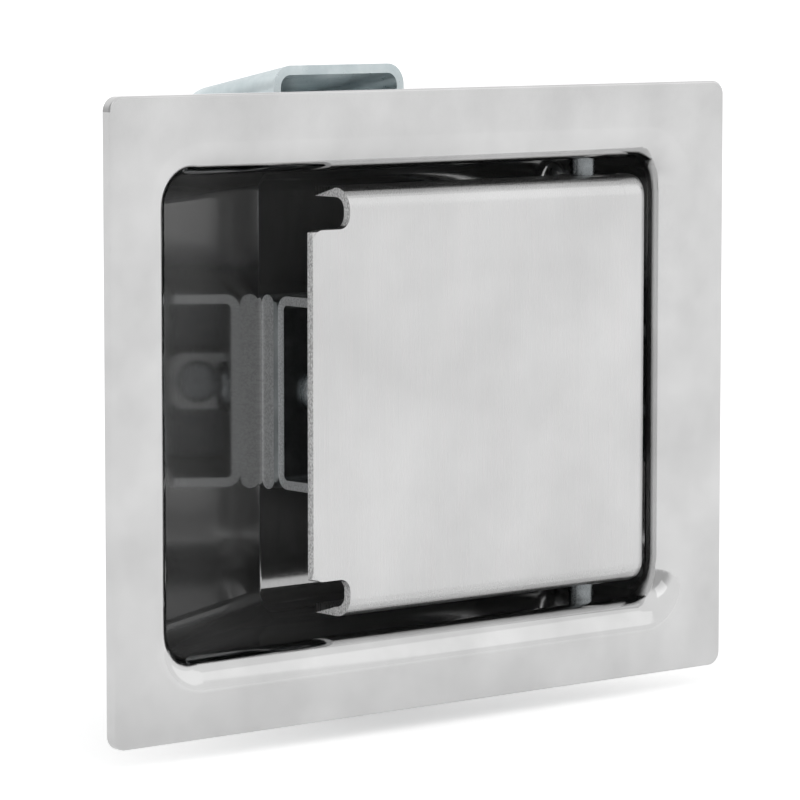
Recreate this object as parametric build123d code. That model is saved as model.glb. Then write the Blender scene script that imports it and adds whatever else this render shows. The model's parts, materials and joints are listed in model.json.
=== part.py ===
"""Flush paddle latch for a sheet-metal door: a stainless pan that is clamped into a cut-out, a pull paddle
hinged at its right-hand end, and a sprung bolt that the paddle draws back behind the pan.

Millimetres. X runs to the right along the pan, Y into the door and Z up. The origin is the centre of the
pan in the plane where its flange seats on the door, so the flange's front face lies at Y = -PAN_SHEET.
"""

import os
from math import cos, radians, sin, sqrt, tan

from build123d import *

# ---- pan: flange and drawn recess -------------------------------------------------------------------------
PAN_WIDTH = 111.1
PAN_HEIGHT = 85.7
PAN_SHEET = 1.5
PAN_CORNER_R = 2.0
PAN_EDGE_BREAK = 0.3
SIDE_MARGIN = 11.05  # flange edge to the inside of a side wall
TOP_MARGIN = 10.85  # flange edge to the inside of the top or bottom wall
RECESS_DEPTH = 24.0  # from the flange's front face to the floor
RECESS_R = 4.0  # inside radius of the corners and round the floor
RIM_R = 4.5  # front radius where the flange turns into the walls
RAMP_START_DEPTH = 7.0  # where the finger ramp leaves the left wall, below the flange's front face
RAMP_LENGTH = 32.7  # from the left wall to the crease where the ramp meets the floor
CREASE_R = 1.5  # inside radius of that crease

# ---- paddle -------------------------------------------------------------------------------------------------
PADDLE_SHEET = 1.3
PADDLE_LENGTH = 55.1  # of the flanged part
PADDLE_SIDE_GAP = 2.5  # to the top and bottom walls
PADDLE_END_GAP = 2.9  # to the right wall
PADDLE_SETBACK = 2.0  # face below the flange's front face
PADDLE_BEND_R = 3.0  # outside radius of the top and bottom bends
PADDLE_FLANGE = 7.5  # depth of the top and bottom flanges, with the face
TONGUE_REACH = 6.5  # tongue beyond the flanged part
TONGUE_SHOULDER = 5.5  # the paddle's outside to the tongue's
TONGUE_CORNER_R = 1.6
TONGUE_ROLL_R = 4.0
TONGUE_ROLL_ANGLE = 30.0
NOTCH_R = 1.8
END_FLANGE = 4.0  # depth of the right-hand flange, with the face
END_BEND_R = 2.4
END_STRIP = 3.2  # width of the right-hand end that is left outside the long flanges
RELIEF_WIDTH = 0.6  # slot between the long flanges and the end strip

# ---- hinge ---------------------------------------------------------------------------------------------------
HINGE_WALL_GAP = 9.5  # pin centre to the right wall
HINGE_DEPTH = 8.0  # below the flange's front face
PIN_D = 3.6
PIN_RUNNING_FIT = 0.08  # radial, in the parts that turn
PIN_FIXED_FIT = 0.03  # radial, in the pan
PIN_HEAD_OVERHANG = 1.45
PIN_HEAD_H = 1.4
PIN_TAIL = 2.6  # beyond the pan's bottom wall
PIN_TAIL_CHAMFER = 0.4
RING_GROOVE_DEPTH = 0.35
RING_THICKNESS = 0.6
RING_OVERHANG = 1.8
RING_OPENING = 2.6
RING_FIT = 0.05
EAR_WALL = 1.8  # metal round the pin in the paddle's ears and the lever's hub
PULL_ANGLE = 45.0

# ---- bolt, housing and what guides them ----------------------------------------------------------------------
HOUSING_SHEET = 1.3
HOUSING_HEIGHT = 27.2
HOUSING_DEPTH = 9.4
HOUSING_BEND_R = 2.0
HOUSING_LEFT_GAP = 1.3  # to the ramp's crease
HOUSING_RIGHT_GAP = 1.0  # to the recess's right wall
BAR_THICKNESS = 2.6  # reinforcement plate between housing and floor
BAR_HEIGHT = 27.4
BAR_LEFT_GAP = 0.5  # to the ramp's crease
BAR_RIGHT_GAP = 0.6  # to the radius round the floor
BOLT_REACH = 8.95  # beyond the flange's edge
BOLT_SIDE_GAP = 0.4  # to the housing's flanges
BOLT_FACE_GAP = 0.1  # to the housing's web
BOLT_KEEPER_GAP = 0.2  # to the keeper
BOLT_REAR_GAP = 1.1  # to the spring tab with the bolt drawn back
BOLT_TIP_LAND = 2.3
BOLT_BEVEL_ANGLE = 35.0
BOLT_EDGE_R = 0.5
CATCH_STEP = 0.3  # machined off the front of the nose for the catch face
CATCH_WALL_GAP = 1.5  # pan's wall to that face
BOLT_WALL = 3.0  # between the spring slot and the lever window
SLOT_CLEARANCE = 0.4  # round the bolt in the pan's wall
KEEPER_GAP = 6.7  # from the spring tab
KEEPER_WIDTH = 10.0
KEEPER_SHEET = 1.2

# ---- lever ---------------------------------------------------------------------------------------------------
LEVER_NOSE_R = 1.6
LEVER_WEB_GAP = 0.7  # nose to the housing's web when the finger points straight back
LEVER_WIDTH = 13.2
LEVER_CHEEK = 1.6
LEVER_FOOT = 1.6
LEVER_FOOT_LENGTH = 15.0  # left of the pin
LEVER_LEFT_HALF = 1.1  # half width of the finger towards the bolt's wall
LEVER_RUNNING_GAP = 0.05  # nose to the bolt's wall at rest
LEVER_RATIO = 0.983  # bolt travel per radian of pull, as a share of the lever's reach
WINDOW_SIDE_GAP = 0.8  # lever to the sides of the bolt's window
WINDOW_FREE_LENGTH = 3.2  # beyond the nose's thickness
WINDOW_LEAD_ANGLE = 25.0
WINDOW_LAND = 0.95  # straight contact face in front of the nose's centre

# ---- springs -------------------------------------------------------------------------------------------------
BOLT_SPRING_GAP = 0.5  # coils to the bolt's front and rear planes
BOLT_SPRING_SIDE_GAP = 0.8  # coils to the sides of the bolt's slot
BOLT_SPRING_WIRE = 0.9
BOLT_SPRING_COILS = 7
BOLT_SPRING_END_GAP = 0.15
SPRING_TAB_OFFSET = 14.5  # from the housing's left end
SPRING_TAB_HEIGHT = 8.0
GUIDE_COIL_GAP = 0.5
GUIDE_END_GAP = 2.0  # to the bolt's wall with the bolt drawn back
GUIDE_HEAD_OVERHANG = 1.0
GUIDE_HEAD_H = 1.6
GUIDE_FIT = 0.05
PADDLE_SPRING_WIRE = 0.9
PADDLE_SPRING_GAP = 0.4  # coils to the pin
PADDLE_SPRING_COILS = 4
PADDLE_SPRING_PITCH = 1.1
PADDLE_SPRING_LEG_GAP = 0.15
PADDLE_SPRING_LEG_LEAN = 20.0  # of the paddle's leg towards the face
WIRE_SIDES = 8  # the wire is drawn with this many flats

# ---- rivets --------------------------------------------------------------------------------------------------
RIVET_OFFSET = 6.5  # from the housing's left end
FLUSH_RIVET_OFFSET = 9.0  # left of the hinge pin
RIVET_D = 4.0
RIVET_HEAD_D = 7.2
RIVET_HEAD_H = 1.7
RIVET_TAIL_D = 6.6
RIVET_TAIL_H = 1.3
RIVET_FIT = 0.03

# ---- clamp bracket and its fixings ---------------------------------------------------------------------------
BRACKET_WIDTH = 23.8
BRACKET_SHEET = 1.3
BRACKET_BEND_R = 3.0
BRACKET_DEPTH = 23.5
BRACKET_OVERHANG = 2.85  # a leg's front end beyond the flange's edge
BRACKET_SLOPE = 10.4  # of a leg, towards the middle at the rear
BRACKET_CORNER_R = 6.0  # outside, from leg to web
BRACKET_SIDE = 7.5  # depth of the side flanges, with the sheet
BRACKET_FLOOR_GAP = 17.2  # bracket's web behind the pan's floor as the latch is supplied
STUD_D = 5.0
STUD_SPACING = 43.0
STUD_COLLAR_OVERHANG = 0.8
STUD_COLLAR_H = 0.8
STUD_BEYOND_NUT = 4.0
STUD_END_CHAMFER = 0.5
STUD_HOLE_CLEARANCE = 0.3  # radial, in the bracket
STUD_NUT_FIT = 0.03  # radial
WASHER_D = 11.0
WASHER_THICKNESS = 1.0
WASHER_CLEARANCE = 0.2  # radial
NUT_AF = 8.0
NUT_HEIGHT = 4.0
NUT_CHAMFER_ANGLE = 30.0

# ---- planes and axes that several pieces share -----------------------------------------------------------------
FRONT_Y = -PAN_SHEET
FLOOR_Y = FRONT_Y + RECESS_DEPTH
PAN_REAR_Y = FLOOR_Y + PAN_SHEET
WALL_X = PAN_WIDTH / 2 - SIDE_MARGIN
WALL_Z = PAN_HEIGHT / 2 - TOP_MARGIN
CREASE_X = RAMP_LENGTH - WALL_X
PADDLE_Y = FRONT_Y + PADDLE_SETBACK
PADDLE_INSIDE_Y = PADDLE_Y + PADDLE_SHEET
PADDLE_HALF_Z = WALL_Z - PADDLE_SIDE_GAP
PADDLE_RIGHT_X = WALL_X - PADDLE_END_GAP
PADDLE_LEFT_X = PADDLE_RIGHT_X - PADDLE_LENGTH
TONGUE_HALF_Z = PADDLE_HALF_Z - TONGUE_SHOULDER
HINGE_X = WALL_X - HINGE_WALL_GAP
HINGE_Y = FRONT_Y + HINGE_DEPTH
PIN_R = PIN_D / 2
HUB_R = PIN_R + EAR_WALL
BAR_Y = FLOOR_Y - BAR_THICKNESS
WEB_Y = BAR_Y - HOUSING_SHEET  # front face of the housing's web
HOUSING_FRONT_Y = BAR_Y - HOUSING_DEPTH
HOUSING_LEFT_X = CREASE_X + HOUSING_LEFT_GAP
HOUSING_RIGHT_X = WALL_X - HOUSING_RIGHT_GAP
HOUSING_INSIDE_Z = HOUSING_HEIGHT / 2 - HOUSING_SHEET
RIVET_X = HOUSING_LEFT_X + RIVET_OFFSET
FLUSH_RIVET_X = HINGE_X - FLUSH_RIVET_OFFSET
SPRING_TAB_X = HOUSING_LEFT_X + SPRING_TAB_OFFSET
SPRING_TAB_RIGHT_X = SPRING_TAB_X + HOUSING_SHEET
LEVER_LEAN = PULL_ANGLE / 2  # of the finger from the depth direction, at rest
LEVER_REACH = WEB_Y - LEVER_WEB_GAP - LEVER_NOSE_R - HINGE_Y
NOSE_X = HINGE_X + LEVER_REACH * sin(radians(LEVER_LEAN))
NOSE_Y = HINGE_Y + LEVER_REACH * cos(radians(LEVER_LEAN))
BOLT_TRAVEL = LEVER_RATIO * LEVER_REACH * radians(PULL_ANGLE)
BOLT_REAR_Y = WEB_Y - BOLT_FACE_GAP
BOLT_FRONT_Y = HOUSING_FRONT_Y + BOLT_KEEPER_GAP
BOLT_HALF_Z = HOUSING_INSIDE_Z - BOLT_SIDE_GAP
BOLT_REAR_X = SPRING_TAB_RIGHT_X + BOLT_TRAVEL + BOLT_REAR_GAP
BOLT_TIP_X = PAN_WIDTH / 2 + BOLT_REACH
WINDOW_LEFT_X = NOSE_X - LEVER_NOSE_R - LEVER_RUNNING_GAP
BOLT_WALL_X = WINDOW_LEFT_X - BOLT_WALL
SPRING_Y = (BOLT_FRONT_Y + BOLT_REAR_Y) / 2
BOLT_SPRING_R = (BOLT_REAR_Y - BOLT_FRONT_Y) / 2 - BOLT_SPRING_GAP
SPRING_SLOT_HALF_Z = BOLT_SPRING_R + BOLT_SPRING_SIDE_GAP
GUIDE_PIN_R = BOLT_SPRING_R - BOLT_SPRING_WIRE - GUIDE_COIL_GAP
GUIDE_PIN_END_X = BOLT_WALL_X - BOLT_TRAVEL - GUIDE_END_GAP
BRACKET_REAR_Y = PAN_REAR_Y + BRACKET_FLOOR_GAP + BRACKET_SHEET
BRACKET_LEG_Y = BRACKET_REAR_Y - BRACKET_DEPTH
BRACKET_LEG_Z = PAN_HEIGHT / 2 + BRACKET_OVERHANG


def box(x, y, z):
    """Block between the pairs of limits x, y and z."""
    middle = [(low + high) / 2 for low, high in (x, y, z)]
    size = [high - low for low, high in (x, y, z)]
    return Pos(*middle) * Box(*size)


def depth_rod(x, z, y, radius):
    """Round bar along Y at (x, z), between the pair of limits y."""
    return Pos(x, (y[0] + y[1]) / 2, z) * Rot(90, 0, 0) * Cylinder(radius, y[1] - y[0])


def height_rod(x, y, z, radius):
    """Round bar along Z at (x, y), between the pair of limits z."""
    return Pos(x, y, (z[0] + z[1]) / 2) * Cylinder(radius, z[1] - z[0])


def length_rod(y, z, x, radius):
    """Round bar along X at (y, z), between the pair of limits x."""
    return Pos((x[0] + x[1]) / 2, y, z) * Rot(0, 90, 0) * Cylinder(radius, x[1] - x[0])


def plan_prism(points, half_height):
    """Outline in the XY plane, drawn out equally up and down."""
    return extrude(make_face(Polyline(*points, close=True)), half_height, both=True)


def edges_near(shape, x=None, y=None, z=None, reach=0.02):
    """Edges whose middle lies at the places given; x and z match on either side of the centre."""
    found = []
    for edge in shape.edges():
        centre = edge.center(CenterOf.BOUNDING_BOX)
        if x is not None and abs(abs(centre.X) - abs(x)) > reach:
            continue
        if y is not None and abs(centre.Y - y) > reach:
            continue
        if z is not None and abs(abs(centre.Z) - abs(z)) > reach:
            continue
        found.append(edge)
    return found


def within(edge, half_x, half_z):
    """Whether an edge's centre lies inside the rectangle of these half sizes."""
    centre = edge.center()
    return abs(centre.X) < half_x and abs(centre.Z) < half_z


# ---- pan -------------------------------------------------------------------------------------------------------
def recess_space(growth):
    """The space of the recess, grown on every side; it runs on in front of the flange so that it cuts clear."""
    ahead = FRONT_Y - 4 * RIM_R
    outline = [
        (-WALL_X, ahead),
        (-WALL_X, FRONT_Y + RAMP_START_DEPTH),
        (CREASE_X, FLOOR_Y),
        (WALL_X, FLOOR_Y),
        (WALL_X, ahead),
    ]
    profile = make_face(Polyline(*outline, close=True))
    if growth:
        profile = offset(profile, growth, kind=Kind.INTERSECTION)
    profile = fillet(corners_inside(profile, at_crease=True), CREASE_R + growth)
    profile = fillet(corners_inside(profile, at_crease=False), RECESS_R + growth)
    block = extrude(profile, WALL_Z + growth, both=True)
    rims = [e for e in edges_near(block, z=WALL_Z + growth) if e.center().Y > ahead + RIM_R]
    return fillet(rims, RECESS_R + growth)


def corners_inside(profile, at_crease):
    """Corners of the recess's outline behind the flange: the shallow one at the crease, or those at the walls."""
    inside = [v for v in profile.vertices() if v.Y > FRONT_Y]
    return [v for v in inside if (abs(v.X - CREASE_X) < 2 * PAN_SHEET) == at_crease]


def make_pan():
    flange = extrude(Plane.XZ * RectangleRounded(PAN_WIDTH, PAN_HEIGHT, PAN_CORNER_R), PAN_SHEET)
    body = recess_space(PAN_SHEET) & box(
        (-PAN_WIDTH, PAN_WIDTH), (FRONT_Y, 2 * PAN_REAR_Y), (-PAN_HEIGHT, PAN_HEIGHT)
    )
    pan = flange + body
    roots = [e for e in edges_near(pan, y=0) if within(e, WALL_X + RIM_R, WALL_Z + RIM_R)]
    pan = fillet(roots, RIM_R - PAN_SHEET)
    pan -= recess_space(0)
    mouth = [e for e in edges_near(pan, y=FRONT_Y) if within(e, WALL_X + 1, WALL_Z + 1)]
    pan = fillet(mouth, RIM_R)
    edge_x = PAN_WIDTH / 2 - PAN_CORNER_R
    edge_z = PAN_HEIGHT / 2 - PAN_CORNER_R
    outline = [e for e in edges_near(pan, y=FRONT_Y) if not within(e, edge_x, edge_z)]
    pan = fillet(outline, PAN_EDGE_BREAK)
    slot_half_z = BOLT_HALF_Z + SLOT_CLEARANCE
    slot = box(
        (WALL_X - 1, WALL_X + PAN_SHEET + 1),
        (BOLT_FRONT_Y - SLOT_CLEARANCE, BOLT_REAR_Y + SLOT_CLEARANCE),
        (-slot_half_z, slot_half_z),
    )
    pan -= slot
    pin_hole_z = WALL_Z + 2 * PAN_SHEET
    pan -= height_rod(HINGE_X, HINGE_Y, (-pin_hole_z, pin_hole_z), PIN_R + PIN_FIXED_FIT)
    for x in (RIVET_X, FLUSH_RIVET_X):
        pan -= depth_rod(x, 0, (FLOOR_Y - 1, PAN_REAR_Y + 1), RIVET_D / 2 + RIVET_FIT)
    return pan


# ---- reinforcement plate, bolt housing and its rivets ----------------------------------------------------------
def make_reinforcement_plate():
    section = Plane.YZ * Pos(BAR_Y + BAR_THICKNESS / 2, 0) * RectangleRounded(
        BAR_THICKNESS, BAR_HEIGHT, BAR_THICKNESS / 2 - 0.01
    )
    left = CREASE_X + BAR_LEFT_GAP
    right = WALL_X - RECESS_R - BAR_RIGHT_GAP
    plate = Pos(left, 0, 0) * extrude(section, right - left)
    for x in (RIVET_X, FLUSH_RIVET_X):
        plate -= depth_rod(x, 0, (BAR_Y - 1, FLOOR_Y + 1), RIVET_D / 2 + RIVET_FIT)
    return plate


def make_bolt_housing():
    length = (HOUSING_LEFT_X, HOUSING_RIGHT_X)
    outside = box(length, (HOUSING_FRONT_Y, BAR_Y), (-HOUSING_HEIGHT / 2, HOUSING_HEIGHT / 2))
    outside = fillet(edges_near(outside, y=BAR_Y, z=HOUSING_HEIGHT / 2), HOUSING_BEND_R)
    inside = box(
        (length[0] - 1, length[1] + 1), (HOUSING_FRONT_Y - 1, WEB_Y), (-HOUSING_INSIDE_Z, HOUSING_INSIDE_Z)
    )
    inside = fillet(edges_near(inside, y=WEB_Y, z=HOUSING_INSIDE_Z), HOUSING_BEND_R - HOUSING_SHEET)
    channel = outside - inside
    # The spring tab is bent forward out of a window in the web.
    tab_front_y = SPRING_Y - SPRING_TAB_HEIGHT / 2
    half_z = SPRING_TAB_HEIGHT / 2
    channel += box((SPRING_TAB_X, SPRING_TAB_RIGHT_X), (tab_front_y, WEB_Y + HOUSING_SHEET), (-half_z, half_z))
    tab_length = BAR_Y - tab_front_y
    channel -= box(
        (SPRING_TAB_RIGHT_X, SPRING_TAB_RIGHT_X + tab_length), (WEB_Y - 1, BAR_Y + 1), (-half_z, half_z)
    )
    channel = fillet(edges_near(channel, y=tab_front_y, z=half_z), half_z / 2)
    channel -= length_rod(SPRING_Y, 0, (SPRING_TAB_X - 1, SPRING_TAB_RIGHT_X + 1), GUIDE_PIN_R + GUIDE_FIT)
    channel -= depth_rod(RIVET_X, 0, (WEB_Y - 1, BAR_Y + 1), RIVET_D / 2 + RIVET_FIT)
    channel -= countersink(RIVET_FIT)
    return channel


def countersink(growth):
    """Shank and 90-degree head of the flush rivet, within the housing's web."""
    head = depth_rod(FLUSH_RIVET_X, 0, (WEB_Y, BAR_Y), RIVET_D / 2 + growth)
    cone = Cone(RIVET_D / 2 + growth, RIVET_D / 2 + HOUSING_SHEET + growth, HOUSING_SHEET)
    return head + Pos(FLUSH_RIVET_X, (WEB_Y + BAR_Y) / 2, 0) * Rot(90, 0, 0) * cone


def rivet_tail(x):
    tail = depth_rod(x, 0, (PAN_REAR_Y, PAN_REAR_Y + RIVET_TAIL_H), RIVET_TAIL_D / 2)
    return fillet(edges_near(tail, y=PAN_REAR_Y + RIVET_TAIL_H), RIVET_TAIL_H / 2)


def make_housing_rivet():
    shank = depth_rod(RIVET_X, 0, (WEB_Y, PAN_REAR_Y), RIVET_D / 2)
    head = depth_rod(RIVET_X, 0, (WEB_Y - RIVET_HEAD_H, WEB_Y), RIVET_HEAD_D / 2)
    head = fillet(edges_near(head, y=WEB_Y - RIVET_HEAD_H), RIVET_HEAD_H * 0.75)
    return head + shank + rivet_tail(RIVET_X)


def make_flush_rivet():
    shank = depth_rod(FLUSH_RIVET_X, 0, (WEB_Y, PAN_REAR_Y), RIVET_D / 2)
    return countersink(0) + shank + rivet_tail(FLUSH_RIVET_X)


def make_bolt_keeper():
    left = SPRING_TAB_RIGHT_X + KEEPER_GAP
    right = left + KEEPER_WIDTH
    level = (HOUSING_FRONT_Y - KEEPER_SHEET, HOUSING_FRONT_Y)
    strap = box((left, right), level, (-HOUSING_HEIGHT / 2, HOUSING_HEIGHT / 2))
    return fillet(strap.edges().filter_by(Axis.Y), KEEPER_SHEET)


# ---- bolt ----------------------------------------------------------------------------------------------------------
def make_bolt():
    bevel = (BOLT_REAR_Y - BOLT_FRONT_Y - BOLT_TIP_LAND) / tan(radians(BOLT_BEVEL_ANGLE))
    outline = [
        (BOLT_REAR_X, BOLT_FRONT_Y),
        (BOLT_TIP_X, BOLT_FRONT_Y),
        (BOLT_TIP_X, BOLT_FRONT_Y + BOLT_TIP_LAND),
        (BOLT_TIP_X - bevel, BOLT_REAR_Y),
        (BOLT_REAR_X, BOLT_REAR_Y),
    ]
    bolt = plan_prism(outline, BOLT_HALF_Z)
    long_edges = [e for e in edges_near(bolt, z=BOLT_HALF_Z) if abs(e.center().X - BOLT_REAR_X) > 1]
    bolt = fillet(long_edges + edges_near(bolt, x=BOLT_TIP_X, z=0), BOLT_EDGE_R)
    catch_x = WALL_X + PAN_SHEET + CATCH_WALL_GAP
    bolt -= box((catch_x, BOLT_TIP_X + 1), (BOLT_FRONT_Y - 1, BOLT_FRONT_Y + CATCH_STEP), (-WALL_Z, WALL_Z))
    depth = (BOLT_FRONT_Y - 1, BOLT_REAR_Y + 1)
    bolt -= box((BOLT_REAR_X - 1, BOLT_WALL_X), depth, (-SPRING_SLOT_HALF_Z, SPRING_SLOT_HALF_Z))
    # The lever's window has a slanted lead, because the finger leans over its front edge at rest.
    land_y = NOSE_Y - WINDOW_LAND
    lead = (land_y - BOLT_FRONT_Y + 1) * tan(radians(WINDOW_LEAD_ANGLE))
    window_right_x = WINDOW_LEFT_X + 2 * LEVER_NOSE_R + WINDOW_FREE_LENGTH
    window = [
        (WINDOW_LEFT_X, BOLT_REAR_Y + 1),
        (WINDOW_LEFT_X, land_y),
        (WINDOW_LEFT_X - lead, BOLT_FRONT_Y - 1),
        (window_right_x, BOLT_FRONT_Y - 1),
        (window_right_x, BOLT_REAR_Y + 1),
    ]
    return bolt - plan_prism(window, LEVER_WIDTH / 2 + WINDOW_SIDE_GAP)


# ---- paddle and lever ----------------------------------------------------------------------------------------------
def make_paddle():
    flange_y = PADDLE_Y + PADDLE_FLANGE
    strip_x = PADDLE_RIGHT_X - END_STRIP
    channel_x = (PADDLE_LEFT_X, strip_x - RELIEF_WIDTH)
    outside = box(channel_x, (PADDLE_Y, flange_y), (-PADDLE_HALF_Z, PADDLE_HALF_Z))
    outside = fillet(edges_near(outside, y=PADDLE_Y, z=PADDLE_HALF_Z), PADDLE_BEND_R)
    ear_z = PADDLE_HALF_Z
    ears = height_rod(HINGE_X, HINGE_Y, (-ear_z, ear_z), HUB_R)
    ears += box((HINGE_X - HUB_R, channel_x[1]), (PADDLE_Y + PADDLE_BEND_R, HINGE_Y), (-ear_z, ear_z))
    inside_z = PADDLE_HALF_Z - PADDLE_SHEET
    inside = box(
        (channel_x[0] - 1, channel_x[1] + 9), (PADDLE_INSIDE_Y, HINGE_Y + 2 * HUB_R), (-inside_z, inside_z)
    )
    inside = fillet(edges_near(inside, y=PADDLE_INSIDE_Y, z=inside_z), PADDLE_BEND_R - PADDLE_SHEET)
    paddle = outside + ears - inside
    paddle += tongue()
    corners = edges_near(paddle, x=PADDLE_LEFT_X, y=PADDLE_Y + PADDLE_SHEET / 2, z=TONGUE_HALF_Z)
    paddle = fillet(corners, NOTCH_R)
    flat_z = PADDLE_HALF_Z - PADDLE_BEND_R
    paddle += box((channel_x[1], strip_x), (PADDLE_Y, PADDLE_INSIDE_Y), (-flat_z, flat_z))
    paddle += end_strip(strip_x)
    return paddle - height_rod(HINGE_X, HINGE_Y, (-2 * ear_z, 2 * ear_z), PIN_R + PIN_RUNNING_FIT)


def tongue():
    """Flat grip with rounded corners, whose left edge is rolled back a little."""
    roll_x = PADDLE_LEFT_X - TONGUE_REACH + TONGUE_ROLL_R * sin(radians(TONGUE_ROLL_ANGLE))
    centre = (roll_x, PADDLE_Y + TONGUE_ROLL_R)

    def on_roll(radius, degrees):
        return centre[0] - radius * sin(radians(degrees)), centre[1] - radius * cos(radians(degrees))

    inner_r = TONGUE_ROLL_R - PADDLE_SHEET
    with_arcs = [
        Line((PADDLE_LEFT_X + 1, PADDLE_Y), on_roll(TONGUE_ROLL_R, 0)),
        ThreePointArc(
            on_roll(TONGUE_ROLL_R, 0),
            on_roll(TONGUE_ROLL_R, TONGUE_ROLL_ANGLE / 2),
            on_roll(TONGUE_ROLL_R, TONGUE_ROLL_ANGLE),
        ),
        Line(on_roll(TONGUE_ROLL_R, TONGUE_ROLL_ANGLE), on_roll(inner_r, TONGUE_ROLL_ANGLE)),
        ThreePointArc(
            on_roll(inner_r, TONGUE_ROLL_ANGLE), on_roll(inner_r, TONGUE_ROLL_ANGLE / 2), on_roll(inner_r, 0)
        ),
        Line(on_roll(inner_r, 0), (PADDLE_LEFT_X + 1, PADDLE_INSIDE_Y)),
        Line((PADDLE_LEFT_X + 1, PADDLE_INSIDE_Y), (PADDLE_LEFT_X + 1, PADDLE_Y)),
    ]
    sheet = extrude(make_face(with_arcs), TONGUE_HALF_Z, both=True)
    left = PADDLE_LEFT_X - TONGUE_REACH
    trim = box((left, PADDLE_LEFT_X + 2), (PADDLE_Y - 5, PADDLE_Y + 5), (-TONGUE_HALF_Z, TONGUE_HALF_Z))
    trim = fillet([e for e in trim.edges().filter_by(Axis.Y) if e.center().X < left + 1], TONGUE_CORNER_R)
    return sheet & trim


def end_strip(left):
    """Right-hand end of the paddle, bent back over the whole height outside the long flanges."""
    outer = box((left, PADDLE_RIGHT_X), (PADDLE_Y, PADDLE_Y + END_FLANGE), (-PADDLE_HALF_Z, PADDLE_HALF_Z))
    outer = fillet(edges_near(outer, x=PADDLE_RIGHT_X, y=PADDLE_Y, z=0), END_BEND_R)
    inner = box(
        (left - 1, PADDLE_RIGHT_X - PADDLE_SHEET),
        (PADDLE_INSIDE_Y, PADDLE_Y + END_FLANGE + 1),
        (-PADDLE_HALF_Z - 1, PADDLE_HALF_Z + 1),
    )
    inner = fillet(
        edges_near(inner, x=PADDLE_RIGHT_X - PADDLE_SHEET, y=PADDLE_INSIDE_Y, z=0), END_BEND_R - PADDLE_SHEET
    )
    return outer - inner


def make_actuating_lever():
    lean = radians(LEVER_LEAN)
    along = (sin(lean), cos(lean))
    right = (cos(lean), -sin(lean))

    def beside(length, side):
        return (
            HINGE_X + length * along[0] + side * right[0],
            HINGE_Y + length * along[1] + side * right[1],
        )

    half = LEVER_WIDTH / 2
    finger = plan_prism(
        [
            beside(0, -LEVER_LEFT_HALF),
            beside(LEVER_REACH, -LEVER_LEFT_HALF),
            beside(LEVER_REACH, LEVER_NOSE_R),
            beside(0, LEVER_NOSE_R),
        ],
        half,
    )
    web_right = HINGE_X + HUB_R
    foot_left = HINGE_X - LEVER_FOOT_LENGTH
    foot_y = PADDLE_INSIDE_Y + LEVER_FOOT
    cheek = plan_prism(
        [
            (foot_left, PADDLE_INSIDE_Y),
            (web_right, PADDLE_INSIDE_Y),
            (web_right, HINGE_Y),
            (HINGE_X - HUB_R, HINGE_Y),
            (foot_left, foot_y),
        ],
        half,
    )
    hub = height_rod(HINGE_X, HINGE_Y, (-half, half), HUB_R)
    nose = height_rod(NOSE_X, NOSE_Y, (-half, half), LEVER_NOSE_R)
    lever = cheek + hub + finger + nose
    gap_z = half - LEVER_CHEEK
    # Between the cheeks only the welded foot is left, and it stops short of the spring.
    foot_right = HINGE_X - HUB_R - 1
    lever -= box((foot_left - 1, WALL_X), (foot_y, BAR_Y), (-gap_z, gap_z))
    lever -= box((foot_right, WALL_X), (PADDLE_Y, BAR_Y), (-gap_z, gap_z))
    return lever - height_rod(HINGE_X, HINGE_Y, (-half - 1, half + 1), PIN_R + PIN_RUNNING_FIT)


# ---- hinge pin, its ring and the springs -----------------------------------------------------------------------------
def make_hinge_pin():
    top = WALL_Z + PAN_SHEET
    bottom = -top - PIN_TAIL
    pin = height_rod(HINGE_X, HINGE_Y, (bottom, top), PIN_R)
    pin = chamfer([e for e in pin.edges() if e.center().Z < bottom + 0.01], PIN_TAIL_CHAMFER)
    head = height_rod(HINGE_X, HINGE_Y, (top, top + PIN_HEAD_H), PIN_R + PIN_HEAD_OVERHANG)
    head = fillet([e for e in head.edges() if e.center().Z > top + PIN_HEAD_H - 0.01], PIN_HEAD_H / 2)
    ring_z = ring_levels()
    groove = height_rod(HINGE_X, HINGE_Y, ring_z, PIN_D)
    groove -= height_rod(HINGE_X, HINGE_Y, ring_z, PIN_R - RING_GROOVE_DEPTH)
    return pin + head - groove


def ring_levels():
    """Bottom and top of the groove for the retaining ring."""
    high = -WALL_Z - PAN_SHEET - RING_FIT
    return high - RING_THICKNESS - 2 * RING_FIT, high


def make_pin_retaining_ring():
    low, high = ring_levels()
    level = (low + RING_FIT, high - RING_FIT)
    ring = height_rod(HINGE_X, HINGE_Y, level, PIN_R + RING_OVERHANG)
    ring -= height_rod(HINGE_X, HINGE_Y, level, PIN_R - RING_GROOVE_DEPTH + RING_FIT)
    mouth = RING_OPENING / 2
    behind = (HINGE_Y, HINGE_Y + PIN_D + RING_OVERHANG)
    return ring - box((HINGE_X - mouth, HINGE_X + mouth), behind, (level[0] - 1, level[1] + 1))


def coil(radius, wire, turns, length):
    """Helical wire along +Z from Z = 0, with its ends ground flat; length is over the ground ends."""
    pitch = (length - wire) / turns + wire / turns / 2
    path = Helix(pitch=pitch, height=pitch * turns, radius=radius)
    section = Plane(origin=path @ 0, z_dir=path % 0) * RegularPolygon(wire / 2, WIRE_SIDES)
    body = sweep(section, path=path)
    return Pos(0, 0, (length - pitch * turns) / 2) * body & Pos(0, 0, length / 2) * Cylinder(2 * radius, length)


def make_bolt_spring():
    left = SPRING_TAB_RIGHT_X + BOLT_SPRING_END_GAP
    right = BOLT_WALL_X - BOLT_SPRING_END_GAP
    radius = BOLT_SPRING_R - BOLT_SPRING_WIRE / 2
    spring = coil(radius, BOLT_SPRING_WIRE, BOLT_SPRING_COILS, right - left)
    return Pos(left, SPRING_Y, 0) * Rot(0, 90, 0) * spring


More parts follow.
